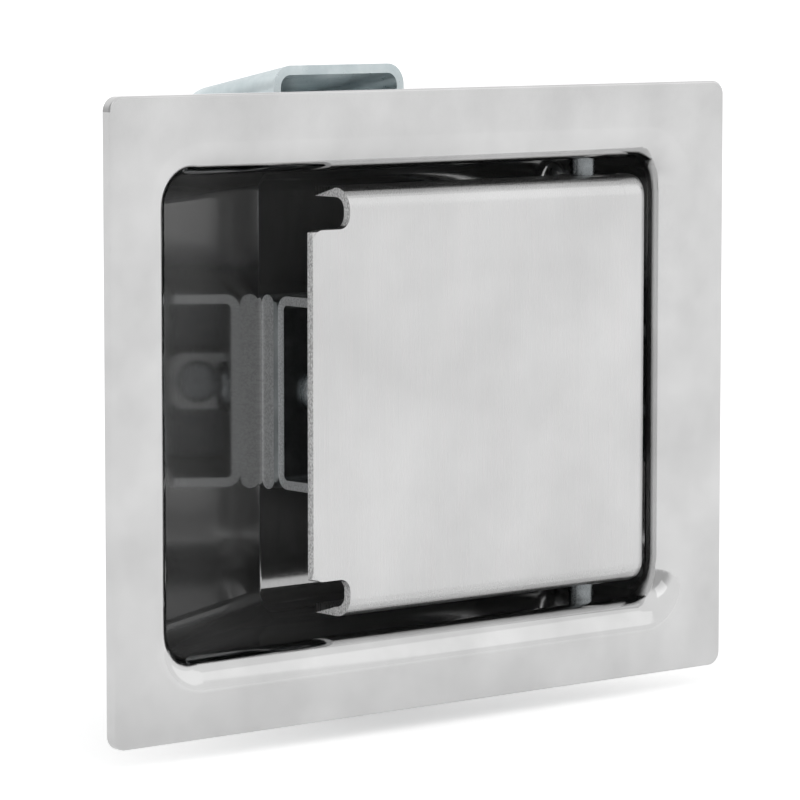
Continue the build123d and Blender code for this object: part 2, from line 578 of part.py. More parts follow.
def make_spring_guide_pin():
    shank = length_rod(SPRING_Y, 0, (SPRING_TAB_X, GUIDE_PIN_END_X), GUIDE_PIN_R)
    shank = chamfer([e for e in shank.edges() if e.center().X > GUIDE_PIN_END_X - 0.01], GUIDE_PIN_R / 4)
    head_x = SPRING_TAB_X - GUIDE_HEAD_H
    head = length_rod(SPRING_Y, 0, (head_x, SPRING_TAB_X), GUIDE_PIN_R + GUIDE_HEAD_OVERHANG)
    head = fillet([e for e in head.edges() if e.center().X < head_x + 0.01], GUIDE_HEAD_H / 2)
    return shank + head


def make_paddle_spring():
    """Torsion spring round the pin: one leg bears inside the paddle's face, the other on the pan's wall."""
    radius = PIN_R + PADDLE_SPRING_GAP + PADDLE_SPRING_WIRE / 2
    wire_r = PADDLE_SPRING_WIRE / 2
    turns = PADDLE_SPRING_COILS + 0.5 - PADDLE_SPRING_LEG_LEAN / 360
    height = PADDLE_SPRING_PITCH * turns
    helix = Helix(pitch=PADDLE_SPRING_PITCH, height=height, radius=radius)
    wall_leg = WALL_X - PADDLE_SPRING_LEG_GAP - HINGE_X
    lean = radians(PADDLE_SPRING_LEG_LEAN)
    fall = HINGE_Y - radius * cos(lean) - wire_r - PADDLE_SPRING_LEG_GAP - PADDLE_INSIDE_Y
    paddle_leg = fall / sin(lean)
    start = helix @ 0
    finish = helix @ 1
    path = Wire(
        [Line(start - (helix % 0) * wall_leg, start), helix, Line(finish, finish + (helix % 1) * paddle_leg)]
    )
    section = Plane(origin=path @ 0, z_dir=path % 0) * RegularPolygon(wire_r, WIRE_SIDES)
    spring = sweep(section, path=path)
    # The helix starts on +X and runs towards +Y, so a quarter turn points both legs to the right.
    return Pos(HINGE_X, HINGE_Y, -height / 2) * Rot(0, 0, 90) * spring


# ---- clamp bracket and its fixings -----------------------------------------------------------------------------------
def bracket_space(inset, half_width, long_edge_r):
    """Space within the bracket's outer faces, inset by a distance; it runs on in front of the legs."""
    rise = tan(radians(BRACKET_SLOPE))
    rear_z = BRACKET_LEG_Z - (BRACKET_REAR_Y - BRACKET_LEG_Y) * rise
    front_z = BRACKET_LEG_Z + BRACKET_LEG_Y * rise
    outline = [(0, -front_z), (BRACKET_REAR_Y, -rear_z), (BRACKET_REAR_Y, rear_z), (0, front_z)]
    profile = make_face(Polyline(*outline, close=True))
    if inset:
        profile = offset(profile, -inset, kind=Kind.INTERSECTION)
    rear_corners = [v for v in profile.vertices() if v.X > BRACKET_LEG_Y]
    profile = fillet(rear_corners, max(BRACKET_CORNER_R - inset, BRACKET_SHEET))
    block = extrude(Plane.YZ * profile, half_width, both=True)
    if long_edge_r:
        faces = [f for f in block.faces() if abs(f.normal_at().X) > 0.9]
        rims = [e for f in faces for e in f.edges() if e.center().Y > 1]
        block = fillet(rims, long_edge_r)
    return block


def make_mounting_bracket():
    half_width = BRACKET_WIDTH / 2
    bracket = bracket_space(0, half_width, BRACKET_BEND_R)
    bracket -= bracket_space(BRACKET_SHEET, half_width - BRACKET_SHEET, BRACKET_BEND_R - BRACKET_SHEET)
    bracket -= bracket_space(BRACKET_SIDE, BRACKET_WIDTH, 0)
    bracket -= box((-BRACKET_WIDTH, BRACKET_WIDTH), (-1, BRACKET_LEG_Y), (-2 * BRACKET_LEG_Z, 2 * BRACKET_LEG_Z))
    for z in stud_heights():
        bracket -= depth_rod(0, z, (PAN_REAR_Y, BRACKET_REAR_Y + 1), STUD_D / 2 + STUD_HOLE_CLEARANCE)
    return bracket


def stud_heights():
    return -STUD_SPACING / 2, STUD_SPACING / 2


def at_studs(piece):
    """One copy of a piece made on the Y axis at each stud."""
    return Compound(children=[Pos(0, 0, z) * piece for z in stud_heights()])


def make_mounting_studs():
    end_y = BRACKET_REAR_Y + WASHER_THICKNESS + NUT_HEIGHT + STUD_BEYOND_NUT
    stud = depth_rod(0, 0, (PAN_REAR_Y, end_y), STUD_D / 2)
    stud = chamfer([e for e in stud.edges() if e.center().Y > end_y - 0.01], STUD_END_CHAMFER)
    collar_y = (PAN_REAR_Y, PAN_REAR_Y + STUD_COLLAR_H)
    return at_studs(stud + depth_rod(0, 0, collar_y, STUD_D / 2 + STUD_COLLAR_OVERHANG))


def make_mounting_washers():
    level = (BRACKET_REAR_Y, BRACKET_REAR_Y + WASHER_THICKNESS)
    washer = depth_rod(0, 0, level, WASHER_D / 2) - depth_rod(0, 0, level, STUD_D / 2 + WASHER_CLEARANCE)
    return at_studs(washer)


def make_mounting_nuts():
    level = (BRACKET_REAR_Y + WASHER_THICKNESS, BRACKET_REAR_Y + WASHER_THICKNESS + NUT_HEIGHT)
    hexagon = extrude(Plane.XZ.offset(-level[0]) * RegularPolygon(NUT_AF / 2, 6, major_radius=False), -NUT_HEIGHT)
    # The corners are turned off at 30 degrees on both faces.
    tip_r = NUT_AF / sqrt(3)
    turned = depth_rod(0, 0, level, tip_r)
    across = tip_r - NUT_AF / 2
    turned = chamfer(turned.edges().filter_by(GeomType.CIRCLE), across * tan(radians(NUT_CHAMFER_ANGLE)), across)
    nut = (hexagon & turned) - depth_rod(0, 0, level, STUD_D / 2 + STUD_NUT_FIT)
    return at_studs(nut)


PIECES = {
    "pan": make_pan,
    "reinforcement_plate": make_reinforcement_plate,
    "bolt_housing": make_bolt_housing,
    "housing_rivet": make_housing_rivet,
    "flush_rivet": make_flush_rivet,
    "bolt_keeper": make_bolt_keeper,
    "spring_guide_pin": make_spring_guide_pin,
    "bolt": make_bolt,
    "bolt_spring": make_bolt_spring,
    "paddle": make_paddle,
    "actuating_lever": make_actuating_lever,
    "hinge_pin": make_hinge_pin,
    "pin_retaining_ring": make_pin_retaining_ring,
    "paddle_spring": make_paddle_spring,
    "mounting_studs": make_mounting_studs,
    "mounting_bracket": make_mounting_bracket,
    "mounting_washers": make_mounting_washers,
    "mounting_nuts": make_mounting_nuts,
}

os.makedirs("parts", exist_ok=True)
for name, make in PIECES.items():
    export_step(make(), f"parts/{name}.step")
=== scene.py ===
# %% [markdown]
# # A flush paddle latch
# The latch is a drawn stainless pan that is clamped into a cut-out of a sheet-metal door. A pressed paddle
# lies in the pan and turns on a pin at its right-hand end, and a sprung bolt behind the pan catches the
# door frame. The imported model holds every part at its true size. This lesson gives each part the finish
# that its maker gave it, rebuilds the springs and the threaded studs with the detail that a wound or turned
# part has, and closes up the end of the paddle.

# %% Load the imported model
import json
from math import atan2, cos, pi, radians, sin

import bmesh
import bpy
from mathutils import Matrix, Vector


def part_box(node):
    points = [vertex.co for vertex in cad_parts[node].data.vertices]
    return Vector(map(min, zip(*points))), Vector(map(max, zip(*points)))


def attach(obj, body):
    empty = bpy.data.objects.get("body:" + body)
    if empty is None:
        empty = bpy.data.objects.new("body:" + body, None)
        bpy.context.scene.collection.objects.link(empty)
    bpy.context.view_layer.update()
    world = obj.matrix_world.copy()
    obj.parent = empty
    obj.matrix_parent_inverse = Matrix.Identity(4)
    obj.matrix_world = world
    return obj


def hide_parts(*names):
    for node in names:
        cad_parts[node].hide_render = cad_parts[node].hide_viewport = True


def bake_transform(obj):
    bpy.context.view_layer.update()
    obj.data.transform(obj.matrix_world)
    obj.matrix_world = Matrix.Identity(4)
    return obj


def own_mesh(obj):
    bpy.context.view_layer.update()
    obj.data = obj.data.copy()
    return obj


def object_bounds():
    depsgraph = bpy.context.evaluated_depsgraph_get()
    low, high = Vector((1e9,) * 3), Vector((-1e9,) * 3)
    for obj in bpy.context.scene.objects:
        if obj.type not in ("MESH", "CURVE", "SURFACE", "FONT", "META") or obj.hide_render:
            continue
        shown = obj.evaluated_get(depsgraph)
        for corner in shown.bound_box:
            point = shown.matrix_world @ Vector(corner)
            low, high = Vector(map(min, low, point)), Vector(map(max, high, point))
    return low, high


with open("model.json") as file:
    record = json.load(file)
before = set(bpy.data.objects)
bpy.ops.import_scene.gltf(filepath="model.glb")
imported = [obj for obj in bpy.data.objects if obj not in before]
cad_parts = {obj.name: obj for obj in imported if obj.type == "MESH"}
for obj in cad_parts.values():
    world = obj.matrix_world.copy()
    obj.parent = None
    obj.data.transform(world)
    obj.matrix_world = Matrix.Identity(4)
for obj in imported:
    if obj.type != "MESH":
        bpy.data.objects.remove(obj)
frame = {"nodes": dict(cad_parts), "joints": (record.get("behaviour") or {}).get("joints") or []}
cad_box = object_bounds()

MM = 0.001
nodes = frame["nodes"]
print("parts:", ", ".join(sorted(nodes)))

# %% [markdown]
# ## The camera
# A long lens at arm's length keeps the flange's edges nearly parallel, as a catalogue view does. It stands
# to the left of the latch and a little above its middle, so that the finger recess, the paddle's tongue and
# the end of the clamp bracket behind the flange all show.

# %% Camera
CAMERA_PLACE = Vector((-394.60, -456.45, 61.48)) * MM
CAMERA_AIM = Vector((-6.297, -1.5, 0.298)) * MM
CAMERA_LENS = 197.25  # mm
CAMERA_SENSOR = 36.0  # mm wide
CAMERA_CLIP = (0.01, 50.0)  # m


def add_object(name, data):
    """Puts a mesh, a curve, a lamp or a camera into the scene."""
    made = bpy.data.objects.new(name, data)
    bpy.context.scene.collection.objects.link(made)
    return made


sight = CAMERA_AIM - CAMERA_PLACE
camera = add_object("camera", bpy.data.cameras.new("camera"))
camera.data.lens = CAMERA_LENS
camera.data.sensor_width = CAMERA_SENSOR
camera.data.clip_start, camera.data.clip_end = CAMERA_CLIP
camera.location = CAMERA_PLACE
camera.rotation_euler = sight.to_track_quat("-Z", "Y").to_euler()
bpy.context.scene.camera = camera
print("camera distance, mm:", round(sight.length / MM))

# %% [markdown]
# ## Two helpers for node trees
# Every finish and every generated shape is a node tree. One helper adds a node with its settings and links,
# so that a tree reads as a list of steps. The other turns a colour as a paint chart gives it, in sRGB, into
# the linear values that the shaders work in.


# %% Helpers
def node(tree, kind, inputs=(), **settings):
    """Adds a node; an input is given a value, or the socket that feeds it."""
    made = tree.nodes.new(kind)
    for name, value in settings.items():
        setattr(made, name, value)
    for key, value in dict(inputs).items():
        if isinstance(value, bpy.types.NodeSocket):
            tree.links.new(value, made.inputs[key])
        else:
            made.inputs[key].default_value = value
    return made


def linear(chart):
    """Linear colour with full alpha from sRGB hex digits."""
    parts = [int(chart[i : i + 2], 16) / 255 for i in (0, 2, 4)]
    return [p / 12.92 if p <= 0.04045 else ((p + 0.055) / 1.055) ** 2.4 for p in parts] + [1.0]


print("middle grey in linear light:", round(linear("808080")[0], 3))

# %% [markdown]
# ## Bare metal finishes
# All parts of this latch are metal, and what tells them apart is how each surface was made. An image
# texture could be wrapped round each part, but a few noises need no unwrapping and keep their size in
# millimetres. A finish has three layers here: slow patches in the colour, where the sheet was handled and
# polished unevenly, a grain that changes the gloss, and the same grain as very small ridges. The grain's
# size is given for each direction, because brushing and drawing leave it long one way and fine the other.


# %% A metal finish from its patches and its grain
NOISE_LOW, NOISE_HIGH = 0.3, 0.7  # nearly all of a noise lies between these


def metal(name, dark, light, patch, gloss, grain, ridge):
    """Metal with cloudy patches and a grain.

    patch, grain and ridge are in mm, grain with a size for each axis; gloss is the span of the roughness.
    """
    material = bpy.data.materials.new(name)
    material.use_nodes = True
    tree = material.node_tree
    shader = tree.nodes["Principled BSDF"]
    shader.inputs["Metallic"].default_value = 1.0
    place = node(tree, "ShaderNodeTexCoord").outputs["Object"]
    patches = node(
        tree,
        "ShaderNodeTexNoise",
        {"Vector": place, "Scale": 1 / (patch * MM), "Detail": 3.0, "Roughness": 0.55},
    )
    tint = node(tree, "ShaderNodeValToRGB", {"Fac": patches.outputs["Fac"]})
    stops = tint.color_ramp.elements
    stops[0].position, stops[0].color = NOISE_LOW, linear(dark)
    stops[1].position, stops[1].color = NOISE_HIGH, linear(light)
    per_metre = [1 / (size * MM) for size in grain]
    stretched = node(tree, "ShaderNodeMapping", {"Vector": place, "Scale": per_metre}).outputs["Vector"]
    lines = node(tree, "ShaderNodeTexNoise", {"Vector": stretched, "Scale": 1.0, "Detail": 4.0}).outputs["Fac"]
    rough = node(
        tree,
        "ShaderNodeMapRange",
        {
            "Value": lines,
            "From Min": NOISE_LOW,
            "From Max": NOISE_HIGH,
            "To Min": gloss[0],
            "To Max": gloss[1],
        },
    )
    ridges = node(tree, "ShaderNodeBump", {"Height": lines, "Distance": ridge * MM, "Strength": 1.0})
    tree.links.new(tint.outputs["Color"], shader.inputs["Base Color"])
    tree.links.new(rough.outputs["Result"], shader.inputs["Roughness"])
    tree.links.new(ridges.outputs["Normal"], shader.inputs["Normal"])
    return material


def finish_with(material, *names):
    """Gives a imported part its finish."""
    for name in names:
        nodes[name].data.materials.clear()
        nodes[name].data.materials.append(material)
    print(material.name, "on", ", ".join(names))


# %% [markdown]
# ### The pan: cold-rolled stainless steel, drawn
# The pan starts as bright cold-rolled stainless sheet. Drawing the recess stretches it, which leaves the
# walls and the ramp smooth enough to mirror the bolt housing, while handling leaves the flange with broad
# faint patches. Its grain is nearly even in all directions, so one small size serves all three axes.

# %% Pan
# Cold-rolled stainless sheet, 304: neutral grey, a soft mirror with faint cloudy patches.
pan_steel = metal("stainless_cold_rolled", "C6C6C6", "D6D6D6", 13.0, (0.07, 0.13), (0.5, 0.5, 0.9), 0.0003)
finish_with(pan_steel, "pan")

# %% [markdown]
# ### Painted shade inside the recess
# Inside the recess the pan's colour is painted darker as shade, and the steel is made a little less metallic,
# so that it scatters some light. It could be a second material, but the shade has no edge, so the pan's
# colour is mixed towards a darker grey by the depth behind the flange instead.

# %% Painted shade inside the recess
RECESS_SHADE_FROM = 2.0  # mm behind the flange's seat
RECESS_SHADE_FULL = 12.0  # mm
RECESS_METALLIC = 0.86  # less metallic deep in the recess, so that it scatters a little light
tree = pan_steel.node_tree
shader = tree.nodes["Principled BSDF"]
place = node(tree, "ShaderNodeTexCoord").outputs["Object"]
depth = node(tree, "ShaderNodeSeparateXYZ", {"Vector": place}).outputs["Y"]
recess_shade = node(
    tree,
    "ShaderNodeMapRange",
    {"Value": depth, "From Min": RECESS_SHADE_FROM * MM, "From Max": RECESS_SHADE_FULL * MM, "To Min": 0.0, "To Max": 1.0},
).outputs["Result"]
bare = shader.inputs["Base Color"].links[0].from_socket
# Painted shade: the pan's colour darkens towards B6B6B6 with the depth behind the flange.
shaded_colour = node(tree, "ShaderNodeMix", {0: recess_shade, 6: bare, 7: linear("B6B6B6")}, data_type="RGBA")
scatter = node(tree, "ShaderNodeMapRange", {"Value": recess_shade, "To Min": 1.0, "To Max": RECESS_METALLIC})
tree.links.new(shaded_colour.outputs[2], shader.inputs["Base Color"])
tree.links.new(scatter.outputs["Result"], shader.inputs["Metallic"])
print("drawing film, mm deep:", RECESS_SHADE_FROM, "to", RECESS_SHADE_FULL)

# %% [markdown]
# ### The paddle: brushed stainless steel
# The paddle is brushed from top to bottom before it is bent, so its face has a fine upright grain that
# spreads each reflection sideways. The brush's lines are ridges, so the grain is drawn long in Z and fine
# in X and Y.

# %% Paddle
# Brushed stainless sheet, 304: upright hairlines. Real ones are about 0.05 mm wide, and these are drawn 0.15 mm
# wide so that they show.
paddle_steel = metal("stainless_brushed", "C8C8C8", "D6D6D6", 22.0, (0.24, 0.36), (0.15, 0.15, 16.0), 0.0006)
finish_with(paddle_steel, "paddle")

# %% [markdown]
# ### Sheared edges
# A sheared edge is half burnished and half torn, so it scatters light that the face beside it mirrors, and
# it looks pale and grainy even where the face is dark. The edges could be given a material of their own
# face by face. Those that show all face left, so one finish is enough, and it changes by the surface's
# direction.


# %% Sheared edges on a sheet's finish
EDGE_FACING = 0.7  # share of the normal that points to the left
TORN_GRAIN = 0.3  # mm across one speck
TORN_LOW, TORN_HIGH = 0.38, 0.6  # noise values of the darkest and the palest specks
TORN_RELIEF = 0.015  # mm
TORN_METALLIC = 0.3  # what is torn scatters light


def shear_edges(material, dark, light):
    """Gives the faces that point left the look of torn sheet."""
    tree = material.node_tree
    shader = tree.nodes["Principled BSDF"]
    own = node(tree, "ShaderNodeTexCoord")
    facing = node(tree, "ShaderNodeSeparateXYZ", {"Vector": own.outputs["Normal"]}).outputs["X"]
    edge = node(tree, "ShaderNodeMath", {0: facing, 1: -EDGE_FACING}, operation="LESS_THAN").outputs[0]
    specks = node(
        tree,
        "ShaderNodeTexNoise",
        {"Vector": own.outputs["Object"], "Scale": 1 / (TORN_GRAIN * MM), "Detail": 3.0},
    ).outputs["Fac"]
    torn = node(tree, "ShaderNodeValToRGB", {"Fac": specks})
    stops = torn.color_ramp.elements
    stops[0].position, stops[0].color = TORN_LOW, linear(dark)
    stops[1].position, stops[1].color = TORN_HIGH, linear(light)
    sheet = shader.inputs["Base Color"].links[0].from_socket
    both = node(tree, "ShaderNodeMix", {0: edge, 6: sheet, 7: torn.outputs["Color"]}, data_type="RGBA")
    scatter = node(tree, "ShaderNodeMapRange", {"Value": edge, "To Min": 1.0, "To Max": TORN_METALLIC})
    smooth = shader.inputs["Normal"].links[0].from_socket
    rugged = node(
        tree,
        "ShaderNodeBump",
        {"Height": specks, "Distance": TORN_RELIEF * MM, "Strength": edge, "Normal": smooth},
    )
    tree.links.new(both.outputs[2], shader.inputs["Base Color"])
    tree.links.new(scatter.outputs["Result"], shader.inputs["Metallic"])
    tree.links.new(rugged.outputs["Normal"], shader.inputs["Normal"])
    print("sheared edges on:", material.name)


shear_edges(paddle_steel, "C4C4C4", "FAFAFA")

# %% [markdown]
# ### Pressed parts: zinc-plated steel
# The clamp bracket, the bolt housing, its bar and keeper and the lever are pressed from mild steel, barrel
# plated with zinc and passivated. The deposit is a little cloudy, in patches of a few millimetres. The
# bracket keeps the cold blue-white tone of new plating beside the neutral stainless. The parts inside the
# pan get a darker, greyer copy of the same plating, which is painted shade.

# %% Zinc-plated sheet parts
# Bright zinc with a blue passivate on cold-rolled steel: pale and bluish, cloudy, softly glossy.
zinc_sheet = metal(
    "zinc_blue_passivate_sheet", "C2CED1", "DEE7E9", 5.0, (0.26, 0.42), (0.7, 0.7, 0.7), 0.0012
)
finish_with(zinc_sheet, "mounting_bracket")
# The same plating, painted darker and neutral grey as shade for the parts inside the pan, with pale torn edges.
zinc_sheet_shaded = metal("zinc_plate_painted_shade", "9CA0A1", "C0C4C5", 3.0, (0.28, 0.44), (0.6, 0.6, 0.6), 0.0012)
shear_edges(zinc_sheet_shaded, "CCCECF", "E8EAEB")
finish_with(zinc_sheet_shaded, "bolt_housing", "reinforcement_plate", "bolt_keeper", "actuating_lever")

# %% [markdown]
# ### Turned and headed parts: zinc-plated steel
# Studs, nuts, washers, rivets and pins are turned, headed or stamped, so they start smoother than the sheet
# and come out of the same plating glossier and finer in grain. The pins and the rivet inside the pan get a
# darker copy of it, which is painted shade.

# %% Zinc-plated turned and headed parts
# Zinc with a blue passivate on turned steel: pale, glossy, with turning marks too fine to draw singly.
zinc_turned = metal(
    "zinc_blue_passivate_turned", "BCC6CA", "D8E0E4", 3.0, (0.20, 0.34), (0.3, 0.3, 0.3), 0.0008
)
finish_with(zinc_turned, "flush_rivet", "mounting_studs", "mounting_washers", "mounting_nuts")
# The same plating, painted dark grey as shade for the pins and the rivet inside the pan, and glossy.
zinc_turned_shaded = metal("zinc_turned_painted_shade", "6C7072", "8E9294", 3.0, (0.20, 0.32), (0.3, 0.3, 0.3), 0.0008)
finish_with(zinc_turned_shaded, "housing_rivet", "hinge_pin", "spring_guide_pin")

# %% [markdown]
# ### Springs, ring and bolt
# Spring wire is drawn, so it is smooth and slightly dark. The bolt is pressed from metal powder and
# sintered, which leaves a dull, even grey with fine pores that oil darkens.

# %% Spring steel and sintered steel
# Drawn and stamped spring steel: dark grey, lightly oiled, glossy.
spring_steel = metal("spring_steel_drawn", "7C7D7E", "98999A", 2.0, (0.22, 0.36), (0.2, 0.2, 0.2), 0.0006)
# Sintered steel: dull and even, with fine pores about 0.2 mm across.
sintered = metal("sintered_steel_oiled", "6E7072", "8A8C8E", 1.2, (0.42, 0.60), (0.2, 0.2, 0.2), 0.0060)
finish_with(spring_steel, "pin_retaining_ring", "bolt_spring", "paddle_spring")
finish_with(sintered, "bolt")

# %% [markdown]
# ### The paddle's right-hand end
# The paddle's long flanges stop short of its right-hand end, and a strip there stays flat over its whole
# height and is bent back over the pin. The strip is pressed out a little towards the wall and closes on the
# flanges, so no slot shows between them. The paddle could be modelled again from its sheet, but the packed
# mesh has all the other bends right, so a copy of it is merged and only its strip and the tongue's edge are
# moved.

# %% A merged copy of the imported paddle
MERGED = 0.001 * MM  # points closer than this are one
STRIP_WIDTH = 3.2 * MM  # from the slot to the right-hand end
paddle_mesh = nodes["paddle"].data.copy()
paddle_mesh.name = "paddle_brushed"
shape = bmesh.new()
shape.from_mesh(paddle_mesh)
bmesh.ops.remove_doubles(shape, verts=shape.verts, dist=MERGED)
paddle_left = min(v.co.x for v in shape.verts)
paddle_right = max(v.co.x for v in shape.verts)
paddle_front = min(v.co.y for v in shape.verts)
paddle_half = max(v.co.z for v in shape.verts)
strip_left = paddle_right - STRIP_WIDTH
print("paddle, mm:", round((paddle_right - paddle_left) / MM, 2), "by", round(2 * paddle_half / MM, 2))

# %% [markdown]
# The strip is straight from top to bottom, so it has no points between which it could bend. It gets a few
# cuts across the height of each bend first.

# %% Cuts across the strip's two ends
NEAR = 0.05 * MM  # points are on a level within this
PADDLE_BEND = 3.0 * MM  # outside radius of the top and bottom bends
BEND_CUTS = 6


def on_strip(vertex):
    return vertex.co.x > strip_left - NEAR


for side in (-1, 1):
    for cut in range(BEND_CUTS):
        level = paddle_half - PADDLE_BEND * (1 - cut / BEND_CUTS)
        strip = [v for v in shape.verts if on_strip(v)]
        edges = [e for e in shape.edges if all(on_strip(v) for v in e.verts)]
        faces = [f for f in shape.faces if all(on_strip(v) for v in f.verts)]
        bmesh.ops.bisect_plane(
            shape, geom=strip + edges + faces, dist=MERGED, plane_co=(0, 0, side * level), plane_no=(0, 0, 1)
        )
print("points on the strip:", sum(on_strip(v) for v in shape.verts))

# %% [markdown]
# The strip's bend moves towards the wall as one, and the flat part beside it stretches to follow. What
# stands past the flat part of the height is spread round the top or the bottom bend, so the corners close.

# %% Strip pressed out and laid round the bends
STRIP_MOVED = 2.5 * MM  # what lies this near to the right-hand end moves
STRIP_SHIFT = 1.4 * MM  # of the bend, towards the wall
STRIP_TRIM = 0.7 * MM  # off the bend's rear end, so that it swings clear of the bolt housing
SLOT_CLOSED = 0.57 * MM  # of the slot's width
strip_rear = max(v.co.y for v in shape.verts if v.co.x > paddle_right - 2 * NEAR)


def shift_strip(place):
    """Moves the strip's bend to the right, and the strip's edge at the slot to the left."""
    if place.x > paddle_right - STRIP_MOVED:
        place.x += STRIP_SHIFT
        if place.y > strip_rear - NEAR:
            place.y -= STRIP_TRIM
    elif abs(place.x - strip_left) < NEAR and abs(place.z) > paddle_half - PADDLE_BEND - NEAR:
        place.x -= SLOT_CLOSED


def follow_bend(place):
    """Spreads what is past the flat part of the paddle's height round the bend."""
    past = abs(place.z) - (paddle_half - PADDLE_BEND)
    if past > 0:
        turned = past / PADDLE_BEND * pi / 2
        place.z += (PADDLE_BEND * sin(turned) - past) * (1 if place.z > 0 else -1)
        place.y += PADDLE_BEND * (1 - cos(turned))


for vertex in shape.verts:
    bends = on_strip(vertex)
    shift_strip(vertex.co)
    if bends:
        follow_bend(vertex.co)
print("paddle's right end, mm:", round(max(v.co.x for v in shape.verts) / MM, 2))

# %% [markdown]
# ### The tongue's edge
# The tongue that the fingers pull has a rolled left edge. It is opened out nearly flat, which turns its
# sheared face to the left. Each point keeps its share of the roll's width and its depth within the sheet.

# %% Tongue's edge opened out
ROLL_R = 4.0 * MM  # of the roll, at the paddle's face
ROLL_ANGLE = radians(30.0)
ROLL_OPENED = 0.85  # share of the way to flat
TONGUE_INSET = 4.0 * MM  # only what lies this far inside the paddle's top and bottom is opened
roll_x = paddle_left + ROLL_R * sin(ROLL_ANGLE)
roll_y = paddle_front + ROLL_R
for vertex in shape.verts:
    place = vertex.co
    if place.x < roll_x and abs(place.z) < paddle_half - TONGUE_INSET:
        reach, rise = roll_x - place.x, roll_y - place.y
        flat_x = roll_x - (roll_x - paddle_left) * atan2(reach, rise) / ROLL_ANGLE
        flat_y = roll_y - (reach**2 + rise**2) ** 0.5
        place.x += ROLL_OPENED * (flat_x - place.x)
        place.y += ROLL_OPENED * (flat_y - place.y)
print("paddle's left end, mm:", round(min(v.co.x for v in shape.verts) / MM, 2))

# %% [markdown]
# ### Shading over the bends
# Smooth shading alone would round the flat face near its bends and spoil its reflection. Weighted normals
# give the large flat face its own direction right up to the bends, and the sharp edges stay sharp.

# %% Finished paddle
SHARP_ANGLE = radians(32.0)  # sharper edges than this stay sharp
shape.to_mesh(paddle_mesh)
shape.free()
paddle_mesh.polygons.foreach_set("use_smooth", [True] * len(paddle_mesh.polygons))
paddle_mesh.set_sharp_from_angle(angle=SHARP_ANGLE)
worked = add_object("paddle_worked", paddle_mesh)
weighted = worked.modifiers.new("weighted", "WEIGHTED_NORMAL")
weighted.keep_sharp = True
weighted.weight = 100
finished = bpy.data.meshes.new_from_object(worked.evaluated_get(bpy.context.evaluated_depsgraph_get()))
bpy.data.objects.remove(worked)
finished.materials.clear()
finished.materials.append(paddle_steel)
paddle = add_object("paddle_brushed", finished)
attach(paddle, "paddle_body")
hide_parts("paddle")
print("paddle faces:", len(finished.polygons))

# %% [markdown]
# ## Round wire for the two springs
# Each spring is one length of round wire that follows a path. A curve's own bevel could draw it, but a
# Geometry Nodes tree that sweeps a circle along the curve has its sizes as named inputs and closes the
# wire's ends. The result is turned into a plain mesh, because a spring changes shape when the paddle moves,
# point by point.

# %% A tree that turns a path into round wire
wire_tree = bpy.data.node_groups.new("round_wire", "GeometryNodeTree")
sockets = wire_tree.interface
sockets.new_socket("Path", in_out="INPUT", socket_type="NodeSocketGeometry")
radius_in = sockets.new_socket("Wire radius", in_out="INPUT", socket_type="NodeSocketFloat")
sides_in = sockets.new_socket("Sides", in_out="INPUT", socket_type="NodeSocketInt")
finish_in = sockets.new_socket("Finish", in_out="INPUT", socket_type="NodeSocketMaterial")
sockets.new_socket("Wire", in_out="OUTPUT", socket_type="NodeSocketGeometry")
given = node(wire_tree, "NodeGroupInput")
section = node(
    wire_tree,
    "GeometryNodeCurvePrimitiveCircle",
    {"Radius": given.outputs["Wire radius"], "Resolution": given.outputs["Sides"]},
)
swept = node(
    wire_tree,
    "GeometryNodeCurveToMesh",
    {"Curve": given.outputs["Path"], "Profile Curve": section.outputs["Curve"], "Fill Caps": True},
)
real = node(wire_tree, "GeometryNodeRealizeInstances", {"Geometry": swept.outputs["Mesh"]})
painted = node(
    wire_tree,
    "GeometryNodeSetMaterial",
    {"Geometry": real.outputs["Geometry"], "Material": given.outputs["Finish"]},
)
node(wire_tree, "NodeGroupOutput", {"Wire": painted.outputs["Geometry"]})
print("wire tree nodes:", len(wire_tree.nodes))


# %% Sweep a wire along points
WIRE_SIDES = 16


def wire(name, points, radius):
    """Plain mesh of round wire through the points, in metres."""
    curve = bpy.data.curves.new(name, "CURVE")
    curve.dimensions = "3D"
    spline = curve.splines.new("POLY")
    spline.points.add(len(points) - 1)
    for point, place in zip(spline.points, points):
        point.co = (*place, 1.0)
    path = add_object(name + "_path", curve)
    modifier = path.modifiers.new("wire", "NODES")
    modifier.node_group = wire_tree
    modifier[radius_in.identifier] = radius
    modifier[sides_in.identifier] = WIRE_SIDES
    modifier[finish_in.identifier] = spring_steel
    mesh = bpy.data.meshes.new_from_object(path.evaluated_get(bpy.context.evaluated_depsgraph_get()))
    bpy.data.objects.remove(path)
    mesh.name = name
    for polygon in mesh.polygons:
        polygon.use_smooth = len(polygon.vertices) < WIRE_SIDES  # all but the two ends
    print(name, "triangles:", sum(len(p.vertices) - 2 for p in mesh.polygons))
    return add_object(name, mesh)


# %% [markdown]
# ### The bolt spring
# This is a compression spring with closed ends: its first and last turns lie wire against wire, so that
# they seat flat, and the turns between are open. It shortens as the bolt is drawn back, and its real turns
# close up evenly.

